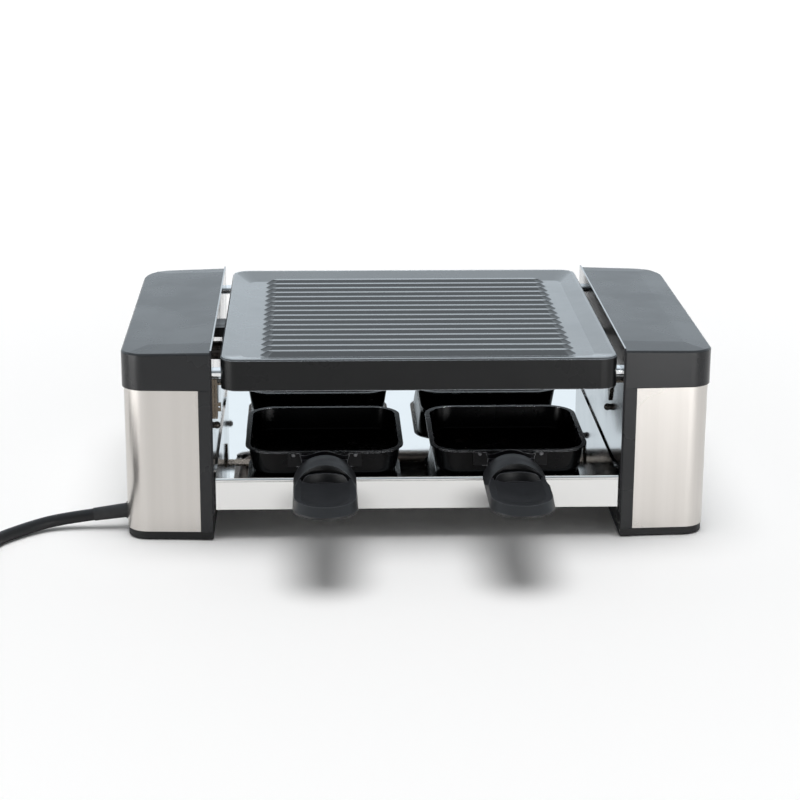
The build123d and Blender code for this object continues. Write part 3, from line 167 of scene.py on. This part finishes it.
class Surface(NodeTree):
    """A material. A colour or roughness that is left out comes from a texture."""

    def __init__(self, name, colour=None, roughness=None, metallic=0.0):
        self.material = bpy.data.materials.new(name)
        self.material.use_nodes = True
        super().__init__(self.material.node_tree)
        self.shader = self.tree.nodes["Principled BSDF"]
        if colour is not None:
            self.set("Base Color", opaque(colour))
        if roughness is not None:
            self.set("Roughness", roughness)
        self.set("Metallic", metallic)
        places = self.add("TexCoord")
        self.coordinates = places.outputs["Object"]
        self.face_direction = places.outputs["Normal"]
        self.normal = None

    def set(self, name, value):
        self.fill(self.shader, {name: value})

    def noise(self, scale, detail, stretch=(1, 1, 1)):
        """Soft noise; a small stretch along an axis draws it out into lines that way."""
        mapping = self.add("Mapping")
        self.fill(mapping, {"Vector": self.coordinates, "Scale": stretch})
        node = self.add("TexNoise")
        self.fill(node, {"Vector": mapping.outputs["Vector"], "Scale": scale, "Detail": detail})
        return node.outputs["Fac"]

    def cells(self, scale):
        node = self.add("TexVoronoi")
        self.fill(node, {"Vector": self.coordinates, "Scale": scale})
        return node.outputs["Distance"]

    def colour(self, share, first, second):
        self.set("Base Color", self.mixed(share, first, second))

    def roughness(self, value, smooth, rough, low=noise_low, high=noise_high):
        self.set("Roughness", self.steps(value, low, high, smooth, rough))

    def bump(self, height, depth, strength):
        node = self.add("Bump")
        self.fill(node, {"Height": height, "Distance": depth, "Strength": strength})
        if self.normal is not None:
            self.fill(node, {"Normal": self.normal})
        self.normal = node.outputs["Normal"]
        self.set("Normal", self.normal)

    def soft_edges(self, radius):
        """Shades edges as if they were rounded; comes before any bump."""
        node = self.add("Bevel")
        node.samples = bevel_samples
        self.fill(node, {"Radius": radius})
        self.normal = node.outputs["Normal"]
        self.set("Normal", self.normal)

    def edge_wear_and_highlight(self, radius):
        """A mask for wear and painted highlights on edges: grows from 0 on open faces to 1 on
        edges.
        """
        node = self.add("Bevel")
        self.fill(node, {"Radius": radius})
        geometry = self.add("NewGeometry")
        likeness = self.vector_value(
            "DOT_PRODUCT", node.outputs["Normal"], geometry.outputs["Normal"]
        )
        return self.steps(likeness, open_face, wear_and_highlight_edge)

    def facing_y(self):
        """1 on faces that look to the front or the back, and 0 elsewhere."""
        along = self.distance_from_zero(self.part_along("Y", self.face_direction))
        return self.calculated("GREATER_THAN", along, front_face)

    def facing_up(self, side_value, top_value):
        """Grows from side_value on upright faces to top_value on level ones."""
        upward = self.part_along("Z", self.face_direction)
        return self.steps(upward, steep_face, level_face, side_value, top_value)

    def near_x(self, place, reach):
        """1 within reach of place, on either side of the middle, and 0 elsewhere."""
        out = self.distance_from_zero(self.part_along("X", self.coordinates))
        away = self.distance_from_zero(self.calculated("SUBTRACT", out, place))
        return self.calculated("LESS_THAN", away, reach)


def dress(surface, *names):
    """Gives the material to CAD nodes or to new pieces."""
    for name in names:
        piece = nodes[name] if isinstance(name, str) else name
        if piece.material_slots:
            for slot in piece.material_slots:
                slot.material = surface.material
        else:
            piece.data.materials.append(surface.material)


def on_each_pan(ending):
    """The nodes of the four pans that end in this name."""
    corners = ["front_left", "front_right", "rear_left", "rear_right"]
    return [f"{corner}_{ending}" for corner in corners]


# Moulded black plastic of the end housings: satin, with a fine spark-eroded grain

moulding = Surface("black_moulding")
moulding_patches = moulding.noise(scale=26, detail=4)
moulding.colour(moulding_patches, (0.014, 0.015, 0.017), (0.019, 0.02, 0.022))
moulding.roughness(moulding_patches, smooth=0.24, rough=0.31, low=0.35, high=0.65)
moulding.set("IOR", 1.42)
moulding.soft_edges(radius=0.0009)
moulding.bump(moulding.cells(scale=1500), depth=0.00004, strength=0.35)
dress(moulding, "left_housing", "right_housing")

# Matt black plastic of the bases and the cord grip

base_plastic = Surface("black_base", colour=(0.007, 0.007, 0.008))
base_mottle = base_plastic.noise(scale=60, detail=4)
base_plastic.roughness(base_mottle, smooth=0.42, rough=0.58, low=0.35, high=0.65)
base_plastic.set("IOR", 1.38)
base_plastic.bump(base_plastic.cells(scale=1300), depth=0.00005, strength=0.4)
dress(base_plastic, "left_base", "right_base", "cord_grip")

# Stainless side panels, brushed upright

panel = Surface("brushed_panel", metallic=1.0)
panel_lines = panel.noise(scale=160, detail=6, stretch=(1, 1, 0.012))
panel_fine_lines = panel.noise(scale=900, detail=4, stretch=(1, 1, 0.01))
panel.colour(panel_lines, (0.54, 0.515, 0.485), (0.66, 0.63, 0.6))
panel.roughness(panel.noise(scale=9, detail=3), smooth=0.22, rough=0.3)
panel.bump(panel_lines, depth=0.00003, strength=0.25)
panel.bump(panel_fine_lines, depth=0.00002, strength=0.3)
panel.set("Anisotropic", 0.3)
dress(panel, "left_side_panel", "right_side_panel")

# Polished stainless side plates: faint rolling lines, wipe marks, and painted shade on the front
# and back edges

plate_steel = Surface("polished_sheet", metallic=1.0)
plate_steel_clouds = plate_steel.noise(scale=14, detail=4)
plate_steel_tone = plate_steel.mixed(plate_steel_clouds, (0.36, 0.365, 0.37), (0.45, 0.45, 0.45))
# Faces that look to the front or the back are painted near black as shade
plate_steel.colour(plate_steel.facing_y(), plate_steel_tone, (0.03, 0.03, 0.032))
plate_steel_wipes = plate_steel.noise(scale=30, detail=5)
plate_steel.roughness(plate_steel_wipes, smooth=0.08, rough=0.18, low=0.35)
plate_steel_lines = plate_steel.noise(scale=420, detail=4, stretch=(1, 0.02, 1))
plate_steel.bump(plate_steel_lines, depth=0.00001, strength=0.15)
dress(plate_steel, "left_side_plate", "right_side_plate")

# Polished stainless tray, almost a mirror

tray_steel = Surface("tray_sheet", metallic=1.0)
tray_clouds = tray_steel.noise(scale=16, detail=4)
tray_steel.colour(tray_clouds, (0.74, 0.735, 0.725), (0.83, 0.825, 0.81))
tray_wipes = tray_steel.noise(scale=24, detail=5)
tray_steel.roughness(tray_wipes, smooth=0.02, rough=0.06, low=0.35)
tray_lines = tray_steel.noise(scale=380, detail=4, stretch=(0.02, 1, 1))
tray_steel.bump(tray_lines, depth=0.00001, strength=0.12)
dress(tray_steel, "tray")

# Cast grill plate: non-stick coating that shines on level faces, with a painted highlight on its
# edges

cast = Surface("cast_plate")
cast_clouds = cast.noise(scale=34, detail=5)
# The edge mask paints a light metallic highlight on the plate's rim and rib crests
cast_edge_highlight = cast.edge_wear_and_highlight(radius=0.0007)
cast_body = cast.mixed(cast_clouds, (0.006, 0.0065, 0.007), (0.011, 0.0115, 0.0125))
cast.colour(cast_edge_highlight, cast_body, (0.42, 0.44, 0.47))
cast.set("Metallic", cast_edge_highlight)
cast.roughness(cast_clouds, smooth=0.24, rough=0.34)
cast.set("IOR", 1.26)
cast.set("Coat Weight", cast.facing_up(side_value=0.1, top_value=1.0))
cast.set("Coat IOR", 1.7)
cast.set("Coat Roughness", 0.16)
cast.bump(cast.noise(scale=900, detail=3), depth=0.00003, strength=0.15)
cast.bump(cast.cells(scale=1900), depth=0.00002, strength=0.2)
dress(cast, "grill_plate")

# Bright plated pins that carry the plate

pin_chrome = Surface("bright_pin", colour=(0.78, 0.79, 0.8), metallic=1.0)
pin_chrome.roughness(pin_chrome.noise(scale=500, detail=4), smooth=0.05, rough=0.14)
dress(pin_chrome, "plate_pins")

# Heat-tinted steel

tinted = Surface("tinted_steel", metallic=1.0)
tinted.colour(tinted.noise(scale=90, detail=4), (0.08, 0.065, 0.05), (0.2, 0.17, 0.135))
tinted.roughness(tinted.noise(scale=300, detail=4), smooth=0.18, rough=0.34)
dress(tinted, "pin_bracket", "element_clips")

# Burnished screws in the side plates

dark_screw = Surface("dark_screw", metallic=0.8)
dark_screw_mottle = dark_screw.noise(scale=500, detail=4)
dark_screw.colour(dark_screw_mottle, (0.035, 0.03, 0.028), (0.09, 0.08, 0.07))
dark_screw.roughness(dark_screw.noise(scale=900, detail=4), smooth=0.25, rough=0.45)
dress(dark_screw, "side_plate_screws")

# Zinc-plated screws

zinc = Surface("zinc_screw", metallic=1.0)
zinc.colour(zinc.noise(scale=400, detail=4), (0.5, 0.5, 0.52), (0.7, 0.71, 0.72))
zinc.roughness(zinc.noise(scale=800, detail=4), smooth=0.22, rough=0.4)
dress(zinc, "base_screws", "inner_screws", *on_each_pan("handle_screw"))

# Rivets: bright ones in the tray, dark ones in the pans

rivet = Surface("rivet", metallic=1.0)
rivet.colour(rivet.noise(scale=500, detail=3), (0.7, 0.7, 0.7), (0.86, 0.86, 0.86))
rivet.roughness(rivet.noise(scale=900, detail=4), smooth=0.15, rough=0.3)
dress(rivet, "tray_rivets")

pan_rivet = Surface("pan_rivet", metallic=1.0)
pan_rivet_mottle = pan_rivet.noise(scale=600, detail=4)
pan_rivet.colour(pan_rivet_mottle, (0.11, 0.11, 0.115), (0.24, 0.24, 0.25))
pan_rivet.roughness(pan_rivet.noise(scale=900, detail=4), smooth=0.22, rough=0.36)
dress(pan_rivet, *on_each_pan("pan_rivets"))

# Heating element: oxidised tube, plain pins, ceramic bushes

element = Surface("element_sheath", metallic=0.9)
element.colour(element.noise(scale=60, detail=5), (0.06, 0.055, 0.055), (0.17, 0.14, 0.12))
element.roughness(element.noise(scale=200, detail=5), smooth=0.35, rough=0.6)
element.bump(element.noise(scale=900, detail=4), depth=0.00004, strength=0.4)
dress(element, "heating_element")

element_pin = Surface("element_pin", colour=(0.55, 0.54, 0.52), metallic=1.0)
element_pin.roughness(element_pin.noise(scale=700, detail=4), smooth=0.2, rough=0.4)
dress(element_pin, "element_pins")

ceramic = Surface("ceramic", roughness=0.25)
ceramic.colour(ceramic.noise(scale=120, detail=4), (0.76, 0.72, 0.64), (0.86, 0.83, 0.77))
dress(ceramic, "element_bushes")

# Black paint of the plate's stop

stop_paint = Surface("black_stop", colour=(0.02, 0.02, 0.022))
stop_paint.roughness(stop_paint.noise(scale=200, detail=4), smooth=0.3, rough=0.5)
stop_paint.bump(stop_paint.noise(scale=1200, detail=3), depth=0.00003, strength=0.4)
dress(stop_paint, "plate_stop")

# Pans: black non-stick coating, with a painted highlight of light metal on the finest edges

pan_coat = Surface("pan_enamel")
# The edge mask paints a light metallic highlight along the pans' rims
pan_edge_highlight = pan_coat.edge_wear_and_highlight(radius=0.0002)
pan_coat.colour(pan_edge_highlight, (0.002, 0.002, 0.0025), (0.55, 0.57, 0.6))
pan_coat.set("Metallic", pan_edge_highlight)
pan_coat.roughness(pan_coat.noise(scale=70, detail=5), smooth=0.2, rough=0.3)
pan_coat.set("IOR", 1.22)
pan_coat.bump(pan_coat.noise(scale=1100, detail=3), depth=0.00003, strength=0.2)
dress(pan_coat, *on_each_pan("pan"))

# Pan brackets: dark coated steel; the sheared edges of their tongues show bare steel

tongue_middle = 0.05305
tongue_reach = 0.016

bracket_coat = Surface("pan_bracket")
bracket_edges = bracket_coat.edge_wear_and_highlight(radius=0.0005)
on_tongue = bracket_coat.near_x(tongue_middle, tongue_reach)
tongue_edges = bracket_coat.calculated("MULTIPLY", bracket_edges, on_tongue)
bracket_coat.colour(tongue_edges, (0.004, 0.004, 0.005), (0.5, 0.51, 0.53))
bracket_coat.set("Metallic", tongue_edges)
bracket_coat.set("IOR", 1.28)
bracket_coat.roughness(bracket_coat.noise(scale=300, detail=4), smooth=0.26, rough=0.38)
dress(bracket_coat, *on_each_pan("pan_bracket"))

# Pan handles: fine-grained plastic with a painted highlight on the edges

handle_plastic = Surface("handle_plastic")
handle_clouds = handle_plastic.noise(scale=50, detail=4)
handle_tone = handle_plastic.mixed(handle_clouds, (0.009, 0.0093, 0.0105), (0.014, 0.0143, 0.016))
# The edge mask paints a lighter highlight along the handles' edges
handle_edge_highlight = handle_plastic.edge_wear_and_highlight(radius=0.0006)
handle_plastic.colour(handle_edge_highlight, handle_tone, (0.07, 0.072, 0.078))
handle_plastic.roughness(handle_plastic.noise(scale=90, detail=4), smooth=0.42, rough=0.52)
handle_plastic.set("IOR", 1.4)
handle_plastic.soft_edges(radius=0.0005)
handle_plastic.bump(handle_plastic.cells(scale=1700), depth=0.00004, strength=0.4)
dress(handle_plastic, *on_each_pan("handle"))

# Rubber of the feet, the strain relief and the plug, and the plug's pins

rubber = Surface("black_rubber")
rubber.colour(rubber.noise(scale=80, detail=4), (0.007, 0.007, 0.008), (0.014, 0.014, 0.015))
rubber.roughness(rubber.noise(scale=300, detail=4), smooth=0.5, rough=0.68)
rubber.bump(rubber.noise(scale=1500, detail=3), depth=0.00003, strength=0.4)
dress(rubber, "rubber_feet", "strain_relief", "plug_body")

plug_metal = Surface("plug_metal", metallic=1.0)
plug_metal.colour(plug_metal.noise(scale=200, detail=3), (0.68, 0.66, 0.61), (0.8, 0.78, 0.74))
plug_metal.roughness(plug_metal.noise(scale=600, detail=4), smooth=0.14, rough=0.28)
dress(plug_metal, "plug_pins")

# Parts inside the left housing: cut-out, terminal block and wires

cutout_plastic = Surface("cutout_body", roughness=0.35)
cutout_mottle = cutout_plastic.noise(scale=300, detail=4)
cutout_plastic.colour(cutout_mottle, (0.07, 0.06, 0.05), (0.14, 0.12, 0.1))
dress(cutout_plastic, "thermal_cutout")

terminal_plastic = Surface("terminal_body", roughness=0.45)
terminal_mottle = terminal_plastic.noise(scale=200, detail=4)
terminal_plastic.colour(terminal_mottle, (0.72, 0.71, 0.65), (0.82, 0.81, 0.77))
dress(terminal_plastic, "terminal_block")

wire_colours = {
    "live_wire": (0.2, 0.08, 0.03),
    "neutral_wire": (0.03, 0.12, 0.45),
    "earth_wire": (0.3, 0.5, 0.06),
}
for wire_name, wire_colour in wire_colours.items():
    jacket = Surface(wire_name, colour=wire_colour)
    jacket.roughness(jacket.noise(scale=500, detail=3), smooth=0.33, rough=0.48)
    jacket.bump(jacket.noise(scale=1500, detail=3), depth=0.00002, strength=0.3)
    dress(jacket, f"{wire_name}s")

# Sheath of the mains cord

sheath = Surface("cord_sheath")
sheath.colour(sheath.noise(scale=120, detail=3), (0.006, 0.006, 0.007), (0.011, 0.011, 0.012))
sheath.set("IOR", 1.38)
sheath.roughness(sheath.noise(scale=400, detail=4), smooth=0.36, rough=0.55)
sheath.bump(sheath.noise(scale=1600, detail=3), depth=0.00002, strength=0.3)
dress(sheath, "inner_lead")

# Mains cord: one smooth curve along the free stretch and the put-away coil

cord_diameter = 0.007
cord_route = [
    (-0.187, -0.0816, 0.0083),
    (-0.2055, -0.0816, 0.0058),
    (-0.2215, -0.0888, 0.0041),
    (-0.2451, -0.115, 0.0036),
    (-0.2451, -0.152, 0.0036),
]
coil_outer_radius = 0.048
coil_turn_pitch = 0.0076
coil_layer_rise = 0.0076
coil_half_turns = 5
coil_points_per_half_turn = 8
coil_lead_in = 0.007
plug_tilt = radians(5)
cord_rim_resolution = 6
cord_run_resolution = 6

# The coil winds inward by half turns, climbs one layer in the middle, and winds outward again

cord_points = [Vector(point) for point in cord_route]
place = cord_points[-1] - Vector((0, coil_lead_in, 0))
cord_points.append(place.copy())
side = 1
heading = -1
point_turn = pi / coil_points_per_half_turn
control_share = 1 / cos(point_turn / 2)
for number in range(2 * coil_half_turns + 1):
    steps_in = coil_half_turns - abs(coil_half_turns - number)
    turn_radius = coil_outer_radius - steps_in * coil_turn_pitch / 2
    climb = coil_layer_rise if number == coil_half_turns else 0
    centre = place - Vector((side * turn_radius, 0, 0))
    for step in range(coil_points_per_half_turn):
        middle_of_step = step + 0.5
        angle = middle_of_step * point_turn
        share = middle_of_step / coil_points_per_half_turn
        from_centre = Vector(
            (
                side * turn_radius * control_share * cos(angle),
                heading * turn_radius * control_share * sin(angle),
                climb * share,
            )
        )
        cord_points.append(centre + from_centre)
    place = place + Vector((-2 * side * turn_radius, 0, climb))
    side = -side
    heading = -heading

# The cord's end rises at the plug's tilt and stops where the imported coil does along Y

plug_axis = Vector((0, cos(plug_tilt), sin(plug_tilt)))
plug_corner = place + Vector((0, coil_lead_in / 2, 0))
_, coil_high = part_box("cord_coil")
cord_points.append(plug_corner)
cord_points.append(plug_corner + plug_axis * (coil_high.y - plug_corner.y) / plug_axis.y)

cord_data = bpy.data.curves.new("mains_cord", "CURVE")
cord_data.dimensions = "3D"
cord_data.bevel_depth = cord_diameter / 2
cord_data.bevel_resolution = cord_rim_resolution
cord_data.resolution_u = cord_run_resolution
cord_data.use_fill_caps = True
spline = cord_data.splines.new("NURBS")
spline.points.add(len(cord_points) - 1)
for point, where in zip(spline.points, cord_points):
    point.co = (*where, 1)
spline.order_u = 3
spline.use_endpoint_u = True
mains_cord = bpy.data.objects.new("mains_cord", cord_data)
scene.collection.objects.link(mains_cord)
dress(sheath, mains_cord)
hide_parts("power_cord", "cord_coil")
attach(mains_cord, "grill_base")

# Floor: pale and plain, with a faint glow far out that only the camera sees

floor_size = 12.0
floor_colour = (0.96, 0.96, 0.96)
floor_roughness = 0.6
floor_shine = 0.1
near_edge = 0.25
far_edge = 0.9
far_glow = 0.12

floor_data = bpy.data.meshes.new("floor")
half = floor_size / 2
floor_corners = [(-half, -half, 0), (half, -half, 0), (half, half, 0), (-half, half, 0)]
floor_data.from_pydata(floor_corners, [], [(0, 1, 2, 3)])
floor = bpy.data.objects.new("floor", floor_data)
scene.collection.objects.link(floor)

floor_look = Surface("floor", colour=floor_colour, roughness=floor_roughness)
floor_look.set("Specular IOR Level", floor_shine)
floor_look.set("Emission Color", opaque(white))
distance = floor_look.vector_value("LENGTH", floor_look.coordinates)
far_share = floor_look.steps(distance, near_edge, far_edge, 0.0, far_glow)
camera_share = floor_look.add("LightPath").outputs["Is Camera Ray"]
floor_look.set("Emission Strength", floor_look.calculated("MULTIPLY", far_share, camera_share))
dress(floor_look, floor)

# Studio: plain white to the camera, a bluish backdrop in reflections, and a soft sky for the rest

seen_strength = 1.0
horizon_height = 0.1
zenith_height = 0.75
horizon_strength = 0.06
zenith_strength = 0.42
backdrop_colour = (0.83, 0.925, 1.0)
backdrop_axis = (0, 1, 1)
front_end = -0.3
back_end = 0.6
front_strength = 0.25
back_strength = 1.15

world = bpy.data.worlds.new("studio")
world.use_nodes = True
scene.world = world

studio = NodeTree(world.node_tree)
rays = studio.add("LightPath")
mirrored_share = rays.outputs["Is Glossy Ray"]
seen_share = rays.outputs["Is Camera Ray"]
direction = studio.add("TexCoord").outputs["Generated"]
backness = studio.vector_value("DOT_PRODUCT", direction, backdrop_axis)
backdrop_light = studio.steps(backness, front_end, back_end, front_strength, back_strength)
height = studio.part_along("Z", direction)
sky_light = studio.steps(height, horizon_height, zenith_height, horizon_strength, zenith_strength)
unseen_light = studio.steps(mirrored_share, 0.0, 1.0, sky_light, backdrop_light)
studio_light = studio.steps(seen_share, 0.0, 1.0, unseen_light, seen_strength)
studio_colour = studio.mixed(mirrored_share, white, backdrop_colour)
background = world.node_tree.nodes["Background"]
studio.fill(background, {"Strength": studio_light, "Color": studio_colour})

# Lamps: a broad overhead sun, and a low softbox on the left and at the front right

key_strength = 2.05
key_angle = radians(45)
key_height = 1.6
# The boxes stay about as low as the grill, show as highlights and leave the floor evenly lit
box_height = 0.12
box_middle = 0.07
left_box_place = (-0.72, -0.4, box_middle)
left_box_width = 0.45
left_box_power = 3
right_box_place = (0.52, -0.88, box_middle)
right_box_width = 0.6
right_box_power = 3.5


def aim(lamp, place, target):
    lamp.location = place
    lamp.rotation_euler = (Vector(target) - Vector(place)).to_track_quat("-Z", "Y").to_euler()
    scene.collection.objects.link(lamp)


def softbox(name, place, width, power):
    data = bpy.data.lights.new(name, "AREA")
    data.shape = "RECTANGLE"
    data.size = width
    data.size_y = box_height
    data.energy = power
    box = bpy.data.objects.new(name, data)
    box.visible_diffuse = False
    aim(box, place, (0, 0, box_middle))


key_data = bpy.data.lights.new("overhead_key", "SUN")
key_data.energy = key_strength
key_data.angle = key_angle
key = bpy.data.objects.new("overhead_key", key_data)
key.visible_glossy = False
aim(key, (0, 0, key_height), (0, 0, 0))

softbox("left_box", left_box_place, left_box_width, left_box_power)
softbox("right_box", right_box_place, right_box_width, right_box_power)

# Plain colours in the picture

scene.view_settings.view_transform = "Standard"
